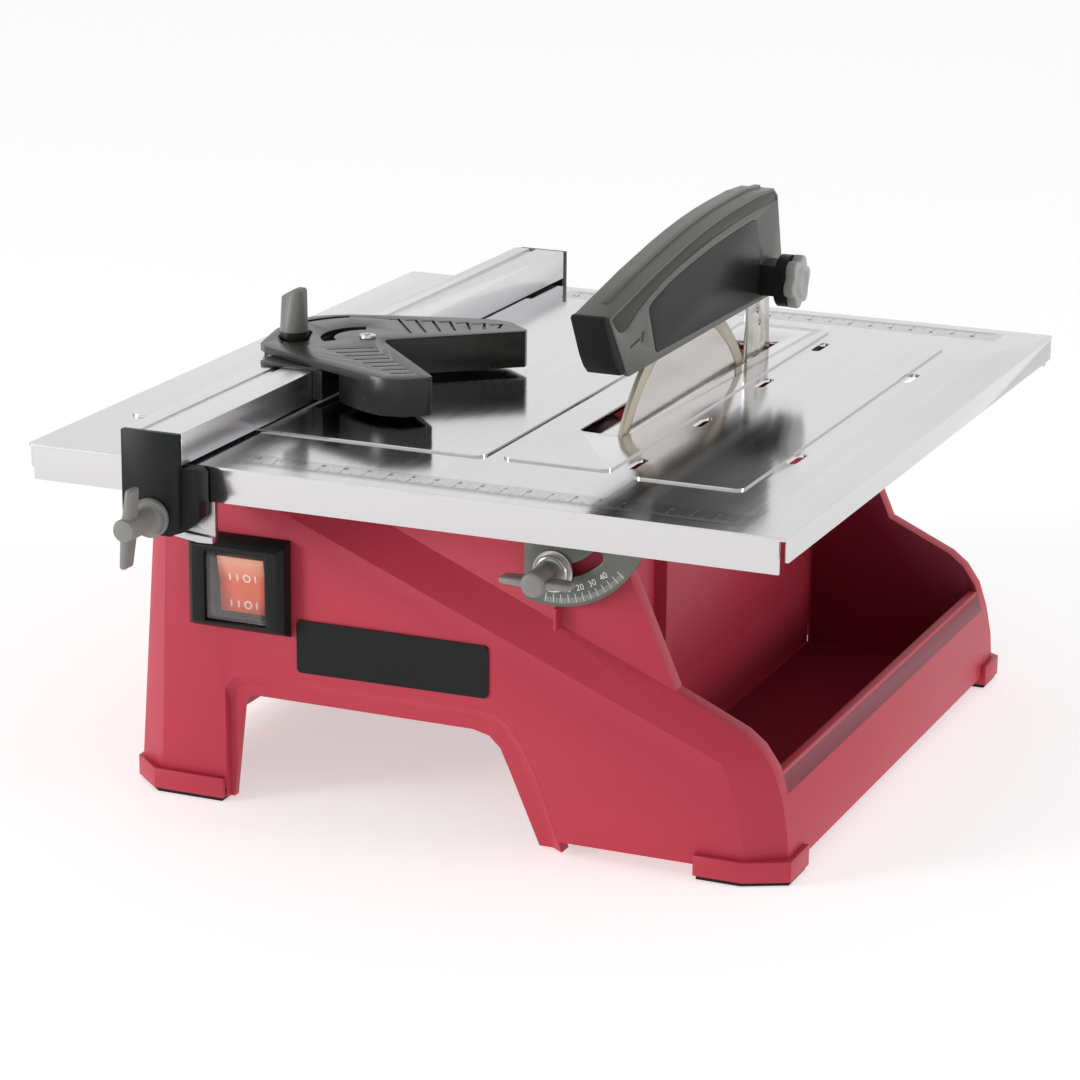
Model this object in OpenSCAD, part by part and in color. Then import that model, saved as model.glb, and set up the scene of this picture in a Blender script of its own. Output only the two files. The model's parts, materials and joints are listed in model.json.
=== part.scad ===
// Bench wet tile cutter with a tilting table. Millimetres, +Z up, +X right, +Y back.
// Modules are drawn with z = 0 on the table top and are lifted on to the feet by place().

/* [Table] */
// overall width of the table sheet
table_w = 330; // [280:1:400]
// overall depth of the table sheet
table_d = 372; // [300:1:420]
// height of the table top above the bench
table_height = 157; // [150:1:170]
// thickness of the table sheet
sheet_t = 1.5; // [1:0.1:3]
// depth of the front and rear skirts
skirt_front = 14.8; // [8:0.1:20]
// depth of the side skirts
skirt_side = 10.5; // [6:0.1:14]
// height of the raised table panels
panel_h = 0.8; // [0.3:0.1:1]

/* [Tilt] */
// sideways position of the tilt axis
tilt_x = 53.5; // [52:0.1:56]
// height of the tilt axis below the table top
tilt_z = -11.5; // [-14:0.1:-10]
// outside radius of the graduated bracket
bracket_r = 40.8; // [38:0.1:43]
// radius of the lock slot centre line
slot_r = 26.15; // [25:0.05:28]
// width of the lock slot
slot_w = 5.6; // [5.3:0.1:6]
// plane of the front bracket
bracket_y = -146; // [-147:0.1:-145]
// plane of the rear bracket
bracket_y2 = 147.5; // [147:0.1:149]

/* [Blade] */
// blade diameter
blade_d = 178; // [170:1:180]
// plane of the blade
blade_x = 51; // [50:0.1:52]
// fore and aft position of the arbor
arbor_y = 1.5; // [0:0.5:3]
// height of the arbor below the table top
arbor_z = -50.6; // [-55:0.1:-48]
// thickness of the rim
rim_t = 2.2; // [1.8:0.1:2.6]
// thickness of the steel core
core_t = 1.7; // [1.2:0.1:1.8]

/* [Base] */
// front face of the base
base_front = -151; // [-153:0.5:-150]
// plane of the set back upper front wall
wall_front = -141; // [-142:0.5:-140]
// outside plane of the upper rear wall
wall_rear = 144; // [143:0.5:145]
// shell wall thickness
wall_t = 3; // [2.5:0.1:4]
// thickness of the upper end walls
end_t = 8; // [6:0.5:9]
// lower edge of the shell
shell_low = -151.3; // [-152:0.1:-150]

/* [Fence] */
// right face of the fence at rest
fence_right = -88; // [-95:0.5:-80]
// width of the fence rail
fence_w = 26; // [22:0.5:30]
// underside of the fence rail
fence_low = 1.2; // [1:0.1:2]
// top of the fence rail
fence_top = 14.7; // [12:0.1:18]

/* [Guard] */
// underside of the guard
guard_low = 28.5; // [26:0.5:32]
// half width of the guard
guard_half = 8; // [7.5:0.1:9]
// fore and aft position of the guard bolt
guard_y = 84; // [84:0.5:88]
// height of the guard bolt
guard_z = 37.2; // [36:0.1:40]

/* [Hidden] */
$fn = 48;
front_most = -222.5;
rear_most = 205;
y_shift = -(front_most + rear_most) / 2;
blade_r = blade_d / 2;
fx1 = fence_right;
fx0 = fence_right - fence_w;
fxc = (fx0 + fx1) / 2;
lock_z = tilt_z - slot_r;
c_red = [0.72, 0.20, 0.26];
c_steel = [0.82, 0.82, 0.84];
c_zinc = [0.62, 0.64, 0.62];
c_black = [0.12, 0.12, 0.13];
c_grey = [0.36, 0.36, 0.34];
c_knob = [0.56, 0.55, 0.53];

module place() translate([0, y_shift, table_height]) children();
module pxz(pts, y0, y1) translate([0, y1, 0]) rotate([90, 0, 0]) linear_extrude(y1 - y0) polygon(pts);
module pyz(pts, x0, x1) translate([x0, 0, 0]) rotate([90, 0, 90]) linear_extrude(x1 - x0) polygon(pts);
module cyly(x, z, y0, y1, r) translate([x, y1, z]) rotate([90, 0, 0]) cylinder(h = y1 - y0, r = r);
module cylx(y, z, x0, x1, r) translate([x0, y, z]) rotate([0, 90, 0]) cylinder(h = x1 - x0, r = r);
module cylz(x, y, z0, z1, r) translate([x, y, z0]) cylinder(h = z1 - z0, r = r);
module bx(x0, x1, y0, y1, z0, z1) translate([x0, y0, z0]) cube([x1 - x0, y1 - y0, z1 - z0]);
module slab(x0, x1, y0, y1, z0, z1, r) translate([0, 0, z0]) linear_extrude(z1 - z0)
  translate([x0 + r, y0 + r]) offset(r) square([x1 - x0 - 2 * r, y1 - y0 - 2 * r]);

// ---- base ----
// cross section of the middle of the base, looking from the front
mid = [[-139.5, shell_low], [154.5, shell_low], [153.3, -135], [150.8, -122], [147, -110.5], [141, -102],
  [134, -96.6], [104.3, -83], [-71, -8], [-129.5, -8]];
// cross section of the front face
face = [[-124.4, shell_low], [139, shell_low], [137.6, -135], [134, -122], [130.5, -111.5],
  [127.5, -106.5], [58.2, -79.4], [25.8, -68], [-111, -8], [-119.6, -8]];
// the same middle section one wall in
mid_in = [[-136.4, shell_low - 1], [151.3, shell_low - 1], [150, -134], [147.6, -122.5], [144.2, -112.5],
  [138.7, -104.6], [132.5, -99.8], [102, -86], [-73, -11.2], [-127, -11.2]];
face_in = [[-122.5, shell_low - 1], [136.6, shell_low - 1], [135, -134], [131.5, -123], [128, -114],
  [124.5, -109.3], [57.2, -82.5], [24.8, -71], [-112, -11.2], [-117.6, -11.2]];
// upper end wall that carries the tilt pin
upper = [[-71, -8], [61, -8], [74, -21.5], [85, -39.5], [104.3, -83], [104.3, -90], [-71, -20]];

module lofted(m, f, y_mid0, y_mid1, y_f, y_r) hull() {
  pxz(m, y_mid0, y_mid1);
  pxz(f, y_f, y_f + 0.05);
  pxz(f, y_r - 0.05, y_r);
}
module arch_out() polygon([[-93.7, -160], [-93.7, -105.5], [-90, -100.5], [-83, -98.7], [21.4, -99],
  [31, -100.6], [36.5, -104], [41.5, -111], [48.7, -124.1], [62, -160]]);
module arch_mid() polygon([[-93.4, -160], [-93.4, -112], [-90, -106.5], [-83, -104.8], [18.6, -104.4],
  [27.5, -105.8], [33, -109], [38, -115.5], [42, -124.2], [56.5, -160]]);
module arch_in() polygon([[-92.2, -160], [-87.2, -115], [-85.6, -111], [-82, -109.2], [18.7, -109.5],
  [26, -111.3], [31, -116], [34.9, -124.3], [50.8, -160]]);
module along_y(y0, y1) translate([0, y1, 0]) rotate([90, 0, 0]) linear_extrude(y1 - y0) children();

// rails that carry the motor feet
module rails() for (s = [-1, 1])
  bx(-140, 28, arbor_y + s * 54 - 6, arbor_y + s * 54 + 6, -66, -56);
module base_shell() color(c_red) place() {
  difference() {
    union() {
      lofted(mid, face, wall_front, wall_rear, base_front, 156);
      pxz(upper, wall_front, wall_front + end_t);
      pxz(upper, wall_rear - end_t, wall_rear);
    }
    difference() {
      lofted(mid_in, face_in, wall_front + 2.6, wall_rear - 2.6, base_front + wall_t, 153);
      // end walls stay solid around the lock stud and the tilt pin
      bx(-73, 110, wall_front - 1, wall_front + end_t, -95, -6);
      bx(-73, 110, wall_rear - end_t, wall_rear + 1, -95, -6);
      // pocket floor and rim rails
      bx(66, 152, wall_front + end_t - 3, wall_rear - end_t + 3, -151.2, -148.6);
      bx(66, 152, wall_front, wall_front + end_t, -160, -80);
      bx(66, 152, wall_rear - end_t, wall_rear + 1, -160, -80);
      rails();
    }
    // open pocket on the right
    difference() {
      pxz([[66, -148.6], [151.2, -148.6], [150, -134], [147.6, -122.5], [144.4, -113.2], [160, -113.2],
        [160, 5], [66, 5]], wall_front + end_t, wall_rear - end_t);
      translate([0, wall_rear - end_t - 16, -132.6]) difference() {
        bx(60, 160, 0, 17, -17, 0);
        cylx(0, 0, 59, 161, 16);
      }
    }
    // open top over the blade tub and the motor bay
    difference() {
      bx(-71, 66.1, wall_front + end_t, wall_rear - end_t, -100, 5);
      rails();
    }
    for (x = [-50, -2]) for (s = [-1, 1]) cylz(x, arbor_y + s * 54, -70, -50, 2.5);
    // stud and pin bores
    for (y = [wall_front - 1, wall_rear - end_t - 1]) {
      cyly(tilt_x, lock_z, y, y + end_t + 2, 2.55);
      cyly(tilt_x, tilt_z, y, y + end_t + 2, 3);
    }
    // archways front and rear
    along_y(base_front - 1, base_front + 8) arch_out();
    along_y(149, 157) arch_in();
    // switch opening, cord hole and drain hole
    bx(-96.6, -71.4, base_front - 1, base_front + 4, -74.3, -45.3);
    cylx(112, -98, -145, -125, 7);
    cyly(56, -141, 140, 158, 6.1);
  }
  // fin that points at the graduated bracket
  pxz([[53.4, -62.5], [54.6, -63], [54.6, -53.6], [53.4, -53.6]], wall_front - 5.5, wall_front + 1);
}

module front_arch_rim() color(c_red) place() difference() {
  along_y(base_front, base_front + 7) intersection() {
    arch_out();
    polygon([[-120, shell_low - 4.2], [90, shell_low - 4.2], [90, -80], [-120, -80]]);
  }
  along_y(base_front - 1, base_front + 8) arch_in();
  hull() {
    along_y(base_front - 0.5, base_front - 0.4) arch_out();
    along_y(base_front + 3.4, base_front + 3.5) arch_mid();
  }
}

// walls of the water tub round the blade and the motor bay floor
module tub_walls() color(c_red) place() {
  difference() {
    union() {
      bx(63, 66, -52, wall_rear - end_t, -148.4, -14);
      bx(60, 66, -52, -49, -148.4, -14);
      bx(57, 60, -100, -49, -148.4, -14);
      bx(28, 60, -100, -97, -148.4, -14);
      bx(28, 31, -100, wall_rear - end_t, -148.4, -14);
      bx(28, 66, -100, wall_rear - end_t, -151.2, -148.4);
      bx(28, 66, wall_rear - end_t - 3, wall_rear - end_t, -148.4, -92);
    }
    cylx(arbor_y, arbor_z, 27, 32, 10);
    cyly(56, -141, 120, 145, 6.1);
  }
}

module foot(x0, x1, y0, y1, z0, z1, cx, cy) translate([0, 0, z0]) linear_extrude(z1 - z0)
  polygon(concat(
    cx < 0 && cy < 0 ? [[x0, y0 + 12.5], [x0 + 14.5, y0]] : [[x0, y0]],
    cx > 0 && cy < 0 ? [[x1 - 17.5, y0], [x1, y0 + 9]] : [[x1, y0]],
    cx > 0 && cy > 0 ? [[x1, y1 - 11.5], [x1 - 16, y1]] : cx < 0 && cy < 0 ?
      [[x1, y1 - 25], [x1 - 13, y1]] : [[x1, y1]],
    cx < 0 && cy > 0 ? [[x0 + 14.5, y1], [x0, y1 - 12.5]] : [[x0, y1]]));
module feet(z0, z1, i) {
  foot(-141.5 + i, -94.2 - i, base_front - 2.5 + i, -116 - i, z0, z1, -1, -1);
  foot(118 + i, 156.6 - i, base_front - 2.5 + i, -122.5 - i, z0, z1, 1, -1);
  foot(128 + i, 156.6 - i, 127 + i, 158.5 - i, z0, z1, 1, 1);
  foot(-141.5 + i, -94.2 - i, 118 + i, 158.5 - i, z0, z1, -1, 1);
}
module corner_feet() color(c_red) place() difference() {
  feet(-155.2, -146.5, 0);
  difference() {
    lofted(mid, face, wall_front, wall_rear, base_front, 156);
    translate([0, 0, -200 + shell_low]) bx(-160, 160, -160, 165, 0, 200);
  }
}
module rubber_pads() color(c_black) place() feet(-table_height, -155.2, 1);

module tilt_pins() color(c_steel) place() {
  cyly(tilt_x, tilt_z, bracket_y - 1.8, wall_front + end_t, 3);
  cyly(tilt_x, tilt_z, bracket_y - 4.2, bracket_y - 1.8, 5);
  cyly(tilt_x, tilt_z, wall_rear - end_t, bracket_y2 + 1.8, 3);
  cyly(tilt_x, tilt_z, bracket_y2 + 1.8, bracket_y2 + 4.2, 5);
}

module rest_bumpers() color(c_black) place()
  for (x = [-118, -84]) for (y = [-136, 138]) {
    cylz(x, y, -8, -1.7, 5);
  }

module front_nameplate() color(c_black) place()
  along_y(base_front - 0.9, base_front) offset(2) offset(-2)
    polygon([[-59.6, -71.8], [27.2, -71.6], [27.2, -94], [-59.4, -94.6]]);

module switch_bezel() color(c_black) place() difference() {
  union() {
    hull() {
      bx(-106.4, -62.2, base_front - 1, base_front, -79.7, -38.2);
      bx(-106.4, -62.2, base_front - 6.5, base_front, -77.2, -40.5);
      bx(-103.9, -64.8, base_front - 8.5, base_front, -75.8, -42.3);
    }
    bx(-96.6, -71.4, base_front - 0.5, base_front + 8.6, -74.3, -45.3);
  }
  bx(-95.6, -72.4, base_front - 12, base_front + 10, -73.4, -46.2);
  bx(-98.4, -69.6, base_front - 12, base_front - 4.5, -75, -44.6);
  cylx(base_front + 3, -59.8, -97.6, -70, 1.55);
}
module switch_rocker() color([0.86, 0.30, 0.18]) place() {
  cylx(base_front + 3, -59.8, -96.5, -71.5, 1.5);
  pyz([[base_front - 4, -47.4], [base_front - 1.2, -59.8], [base_front - 0.8, -72.2], [base_front + 5, -71],
    [base_front + 7, -64.8], [base_front + 7, -54.8], [base_front + 5, -48.6]], -94.9, -73.1);
}
module switch_cover() color([0.85, 0.87, 0.90, 0.35]) place() difference() {
  hull() {
    bx(-98.3, -69.7, base_front - 5.3, base_front - 4.5, -74.9, -44.7);
    bx(-96.6, -71.4, base_front - 9.3, base_front - 4.5, -73.2, -46.4);
  }
  hull() {
    bx(-97, -71, base_front - 5.4, base_front - 4.4, -73.6, -46);
    bx(-95.6, -72.4, base_front - 8.2, base_front - 4.4, -72.2, -47.4);
  }
}

// ---- motor ----
module motor_can() color(c_zinc) place() difference() {
  union() {
    cylx(arbor_y, arbor_z, -66, 14, 38);
    bx(-60, 8, arbor_y - 62, arbor_y + 62, -56, -51);
  }
  cylx(arbor_y, arbor_z, -67, 15, 35);
  for (x = [-50, -2]) for (s = [-1, 1]) cylz(x, arbor_y + s * 54, -57, -50, 2.6);
}
module motor_caps() color([0.55, 0.56, 0.58]) place() for (x = [[-74, -66], [14, 27.4]]) difference() {
  union() {
    cylx(arbor_y, arbor_z, x[0], x[1], x[0] < 0 ? 38 : 36);
    cylx(arbor_y, arbor_z, x[0] < 0 ? -66 : 6, x[0] < 0 ? -58 : 14, 12);
  }
  cylx(arbor_y, arbor_z, -90, 40, 5.4);
  cylx(arbor_y, arbor_z, x[0] < 0 ? -66 : 5, x[0] < 0 ? -57 : 12, 9.5);
}
module stator() color([0.45, 0.30, 0.18]) place() difference() {
  cylx(arbor_y, arbor_z, -50, -2, 35);
  cylx(arbor_y, arbor_z, -51, -1, 22.4);
}
module rotor() color([0.50, 0.50, 0.52]) place() difference() {
  cylx(arbor_y, arbor_z, -48, -4, 22);
  cylx(arbor_y, arbor_z, -49, -3, 5);
}
module cooling_fan() color(c_black) place() difference() {
  union() {
    cylx(arbor_y, arbor_z, -56.5, -50.5, 8);
    cylx(arbor_y, arbor_z, -51.5, -50.5, 26);
    for (a = [0:40:320]) translate([0, arbor_y, arbor_z]) rotate([a, 0, 0]) bx(-56, -51, -0.7, 0.7, 7, 26);
  }
  cylx(arbor_y, arbor_z, -57, -50, 5);
}
module motor_shaft() color(c_steel) place() {
  cylx(arbor_y, arbor_z, -76, 44, 5);
  cylx(arbor_y, arbor_z, 44, 62.5, 5);
}
module motor_bearings() color(c_steel) place() for (x = [-65.9, 5.1]) difference() {
  cylx(arbor_y, arbor_z, x, x + 6.8, 9.5);
  cylx(arbor_y, arbor_z, x - 1, x + 8, 5.05);
}
module motor_screws() color(c_steel) place() for (x = [-50, -2]) for (s = [-1, 1]) {
  cylz(x, arbor_y + s * 54, -62, -51, 2.5);
  cylz(x, arbor_y + s * 54, -51, -47.5, 4.5);
}

// ---- blade ----
module blade_core() color([0.80, 0.79, 0.76]) place() difference() {
  cylx(arbor_y, arbor_z, blade_x - core_t / 2, blade_x + core_t / 2, blade_r - 7);
  cylx(arbor_y, arbor_z, blade_x - 3, blade_x + 3, 5);
}
module blade_rim() color([0.70, 0.66, 0.55]) place() difference() {
  cylx(arbor_y, arbor_z, blade_x - rim_t / 2, blade_x + rim_t / 2, blade_r);
  cylx(arbor_y, arbor_z, blade_x - 3, blade_x + 3, blade_r - 7);
}
module blade_flanges() color(c_steel) place() for (s = [-1, 1]) difference() {
  union() {
    cylx(arbor_y, arbor_z, s < 0 ? blade_x - 4 : blade_x + core_t / 2,
      s < 0 ? blade_x - core_t / 2 : blade_x + 4, 20);
    cylx(arbor_y, arbor_z, s < 0 ? blade_x - 8 : blade_x + core_t / 2,
      s < 0 ? blade_x - core_t / 2 : blade_x + 5, 12);
  }
  cylx(arbor_y, arbor_z, blade_x - 9, blade_x + 9, 5);
}
module arbor_nut() color(c_steel) place() difference() {
  translate([blade_x + 5, arbor_y, arbor_z]) rotate([0, 90, 0]) cylinder(h = 6, r = 9.8, $fn = 6);
  cylx(arbor_y, arbor_z, blade_x + 4, blade_x + 12, 5);
}
// bright splash plate that closes the left of the blade slot
module lower_guard() color(c_steel) place() {
  bx(37.2, 49.2, -70, 111, -4.6, -3.2);
  bx(40.4, 41.8, -70, 111, -24, -4.6);
  bx(31, 41.8, -66, -58, -24, -22.6);
  bx(31, 41.8, 96, 104, -24, -22.6);
  bx(31, 32.4, -66, -58, -34, -24);
  bx(31, 32.4, 96, 104, -34, -24);
}
module splitter() color(c_steel) place() difference() {
  pyz([[79, 52], [93, 52], [96, 30], [108, 24], [110, -10], [132.9, -40], [132.9, -80], [104, -80], [80, -30],
    [80, 20]], blade_x - 0.8, blade_x + 0.8);
  cylx(arbor_y, arbor_z, blade_x - 2, blade_x + 2, blade_r + 3.5);
  cylx(guard_y, guard_z, blade_x - 2, blade_x + 2, 3.05);
  cylx(92.8, 20.1, blade_x - 2, blade_x + 2, 1.6);
  cylx(95.9, 13.9, blade_x - 2, blade_x + 2, 1.6);
  for (z = [-68, -50]) cylx(124, z, blade_x - 2, blade_x + 2, 2.5);
}
// block that holds the foot of the splitter against the rear wall of the tub
module splitter_bolts() color(c_zinc) place() {
  difference() {
    bx(31, blade_x - 0.8, 116, 132.9, -76, -42);
    for (z = [-68, -50]) cylx(124, z, 40, 55, 2.5);
  }
  for (z = [-68, -50]) {
    cylx(124, z, 40, blade_x + 0.8, 2.5);
    cylx(124, z, blade_x + 0.8, blade_x + 4, 4.5);
  }
}

module cord_inlet() color(c_black) place() difference() {
  union() {
    cylx(112, -98, -142, -126, 7);
    cylx(112, -98, -143.5, -137.8, 9.5);
  }
  cylx(112, -98, -144, -125, 4);
}
module drain_plug() color(c_black) place() {
  cyly(56, -141, 131, 156.5, 6);
  cyly(56, -141, 156.5, 161, 8.5);
}

// ---- table ----
module long_slot(x, y, w, l) translate([x, y, -4]) linear_extrude(8) hull() {
  translate([0, w / 2 - l / 2]) circle(w / 2);
  translate([0, l / 2 - w / 2]) circle(w / 2);
}
module table_sheet() color(c_steel) place() difference() {
  union() {
    slab(-table_w / 2, table_w / 2, -table_d / 2, table_d / 2, -sheet_t, 0, 2);
    slab(-150, 14, -128, 150, -0.2, panel_h, 4);
    slab(21, 68.5, -126, 148, -0.2, panel_h, 4);
    slab(80, 127, -131, 138, -0.2, panel_h, 4);
    for (y = [-table_d / 2, table_d / 2 - sheet_t])
      bx(-table_w / 2 + 3, table_w / 2 - 3, y, y + sheet_t, -skirt_front, -0.5);
    for (x = [-table_w / 2, table_w / 2 - sheet_t])
      bx(x, x + sheet_t, -table_d / 2 + 3, table_d / 2 - 3, -skirt_side, -0.5);
  }
  translate([0, 0, -4]) linear_extrude(8) polygon([[33, -71], [35, -73.5], [50, -74.5], [54.5, -77],
    [54.5, 117], [50, 115], [35, 112], [33, 110]]);
  for (y = [-110, -35, 41, 117]) long_slot(74.2, y, 4.2, 17);
  for (y = [-75, 77]) long_slot(130, y, 4.6, 17);
}
function arc(c, r, a0, a1, n, i0 = 0, i1 = 0) = [for (i = [i0:n - i1])
  let (a = a0 + (a1 - a0) * i / n) c + r * [cos(a), sin(a)]];
tilt = [tilt_x, tilt_z];
module bracket_shape() difference() {
  polygon(concat([[40.6, -1.5]], arc(tilt, bracket_r, acos((tilt_x - 40.6) / bracket_r) - 180, 0, 36),
    [[93, -1.5]]));
  polygon(concat(arc(tilt, slot_r + slot_w / 2, -90, -45, 12),
    arc(tilt + slot_r * [cos(-45), sin(-45)], slot_w / 2, -45, 135, 12, 1, 1),
    arc(tilt, slot_r - slot_w / 2, -45, -90, 12),
    arc(tilt + slot_r * [0, -1], slot_w / 2, 90, 270, 12, 1, 1)));
}
module front_bracket() color(c_zinc) place() difference() {
  union() {
    along_y(bracket_y - 0.8, bracket_y + 0.8) bracket_shape();
    bx(40.6, 93, bracket_y - 0.8, -131, -2.9, -sheet_t);
  }
  cyly(tilt_x, tilt_z, bracket_y - 2, bracket_y + 2, 3.05);
}
module rear_bracket() color(c_zinc) place() difference() {
  union() {
    along_y(bracket_y2 - 0.8, bracket_y2 + 0.8) bracket_shape();
    bx(40.6, 93, 134, bracket_y2 + 0.8, -2.9, -sheet_t);
  }
  cyly(tilt_x, tilt_z, bracket_y2 - 2, bracket_y2 + 2, 3.05);
}
module bracket_rivets() color(c_steel) place()
  for (x = [46, 87]) for (y = [-137, 138.5]) cylz(x, y, -4.2, -2.9, 2.4);

// wing knob seen from its outer end, axis along Y, pointing to dir
module wing_knob(x, z, y_seat, dir, r_hub, r_disc, span, len, turn) translate([x, y_seat, z])
  rotate([dir > 0 ? -90 : 90, 0, 0]) rotate(turn) {
    cylinder(h = 3.2, r = r_hub);
    translate([0, 0, 3.1]) cylinder(h = len - 3.1, r1 = r_disc * 1.02, r2 = r_disc * 0.98);
    for (s = [-1, 1]) hull() {
      translate([s * r_disc * 0.7, 0, len - 10]) cylinder(h = 10, r = 1.7, $fn = 24);
      translate([s * (span - 1.7), 0, len - 9]) cylinder(h = 8.5, r = 1.7, $fn = 24);
    }
  }
module front_lock_knob() color(c_knob) place()
  wing_knob(tilt_x, lock_z, bracket_y - 2, -1, 7.6, 5.6, 15.5, 21.5, 0);
module rear_lock_knob() color(c_knob) place()
  wing_knob(tilt_x, lock_z, bracket_y2 + 2, 1, 7.6, 5.6, 15.5, 21.5, 0);
module front_lock_stud() color(c_steel) place() {
  cyly(tilt_x, lock_z, bracket_y - 2, wall_front + end_t - 0.6, 2.5);
  cyly(tilt_x, lock_z, bracket_y - 2, bracket_y - 1, 8.6);
}
module rear_lock_stud() color(c_steel) place() {
  cyly(tilt_x, lock_z, wall_rear - end_t + 0.6, bracket_y2 + 2, 2.5);
  cyly(tilt_x, lock_z, bracket_y2 + 1, bracket_y2 + 2, 8.6);
}

// ---- fence ----
module fence_rail() color([0.84, 0.84, 0.86]) place() difference() {
  bx(fx0, fx1, -195, 198, fence_low, fence_top);
  bx(fx0 + 1.8, fx1 - 1.8, -196, 199, fence_low + 1.8, fence_top - 2.6);
  bx(fx0 + 7.5, fx0 + 11, -196, 199, fence_top - 1.2, fence_top + 1);
}
module fence_clamp() color(c_black) place() difference() {
  union() {
    pxz([[fx0, -19], [fx0, fence_top + 0.1], [fx1, fence_top + 0.1], [fx1, -24], [fx1 - 4, -28],
      [fx0 + 8, -28]], -198.4, -195);
    bx(fx0 + 2.2, fx1 - 2.2, -195, -180, fence_low + 2.2, fence_top - 3);
    pxz([[fx0 + 1, -24], [fx0 + 1, 0.2], [-82.6, 0.2], [-80.6, -2], [-80.6, -20.5], [-82.6, -22.8],
      [fx1 - 1, -27], [fx1 - 4, -28], [fx0 + 5, -28]], -195, -table_d / 2 - 0.5);
  }
  cyly(fxc + 0.6, -20.4, -200, -180, 3.05);
}
module fence_jaw() color(c_steel) place() difference() {
  union() {
    along_y(-183.9, -181.4) polygon([[fx0 + 3, -4], [-79.4, -4], [-79.4, -32.4], [-86, -32.6],
      [fx0 + 8, -29.5], [fx0 + 3, -26]]);
    along_y(-table_d / 2 - 0.5, -181.4) polygon([[fx0 + 8, -29.8], [fx0 + 8, -27.8], [-79.4, -30],
      [-79.4, -32.4], [-86, -32.6]]);
  }
  cyly(fxc + 0.6, -20.4, -190, -180, 3.05);
}
module fence_bolt() color(c_steel) place() cyly(fxc + 0.6, -20.4, -199, -176, 3);
module fence_knob() color(c_knob) place() difference() {
  wing_knob(fxc + 0.6, -20.4, -198.6, -1, 8.4, 5.2, 17, 23.9, 84);
  cyly(fxc + 0.6, -20.4, -199.1, -198, 3);
}
module fence_hook() color(c_black) place() {
  pxz([[fx0 + 0.8, -17], [fx0 + 0.8, fence_top - 0.9], [fx1 - 0.6, fence_top - 0.9], [fx1 - 0.6, -17],
    [fx1 - 3, -20], [fx0 + 3, -20]], 198, rear_most - 1.2);
  bx(fx0 + 2.2, fx1 - 2.2, 184, 198, fence_low + 2.2, fence_top - 3);
  bx(fx0 + 3, fx1 - 3, 187, 198.2, -18, -15.8);
  bx(fx0 + 3, fx1 - 3, 180, 183.6, -18, -8);
  bx(fx0 + 3, fx1 - 3, 180, 187.2, -18, -15.8);
}
module fence_screws() color(c_steel) place() for (x = [fx0 + 6.5, fx1 - 6.5])
  cyly(x, 7.5, rear_most - 1.2, rear_most, 2.4);

// ---- angle gauge ----
gp = [-85, -30.5];
module gauge_saddle() color(c_black) place() difference() {
  union() {
    slab(fx0 + 0.3, fx1 + 4.6, -79, 3, fence_top + 0.2, fence_top + 1.8, 2.4);
    bx(fx1 + 0.3, fx1 + 4.6, -79, -3, 2.4, fence_top + 0.4);
    bx(fx0 - 4.4, fx0 - 0.3, -66, -8, 3, fence_top + 0.4);
    slab(fx0 - 4.4, fx0 + 4, -66, -8, fence_top + 0.2, fence_top + 1.8, 2);
    translate([0, 0, 9.6]) linear_extrude(fence_top - 7.8)
      polygon([[-123, -16], [-122.6, -49], [-121, -57], [-117, -62], [fx0 - 0.3, -66], [fx0 - 0.3, -8],
        [-119.4, -8], [-122, -11]]);
  }
  cylz(gp[0], gp[1], 0, 30, 2.5);
  cylz(-115.6, -41.5, 0, 30, 2.55);
}
// outline of the head, neutral position
head = [[-124.2, -52.5], [-122.2, -60.5], [-116.7, -66], [-85.2, -80.4], [-55, -93.4], [-47.6, -96],
  [-37.8, -94.6], [-29.8, -87], [-29.4, -83.6], [-74, -36], [-75.6, -31.6], [-72.4, -28.4],
  [-27.2, 9.6], [-27.8, 13], [-34.9, 18.9], [-40.5, 23.8], [-46.3, 25.2], [-56, 24], [-66.6, 21.2],
  [-94, 13], [-112, 6.4], [-119.4, 1.8], [-125.4, -4], [-128.6, -14.6], [-128.6, -33.4]];
arm_a = [[-77.4, -31], [-72.4, -28.4], [-27.2, 9.6], [-27.8, 13], [-34.9, 18.9], [-40.5, 23.8],
  [-46.3, 25.2], [-56, 24], [-66.6, 21.2], [-77, 18]];
arm_b = [[-77.4, -29.8], [-75.4, -34.4], [-29.4, -83.6], [-29.8, -87], [-37.8, -94.6], [-47.6, -96],
  [-55, -93.4], [-62, -90], [-74, -81.5]];
module seg(a, b, w) translate(a) rotate(atan2(b[1] - a[1], b[0] - a[0])) translate([-w / 2, -w / 2])
  square([norm(b - a) + w, w]);
function mix(a, b, t) = a + (b - a) * t;
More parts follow.
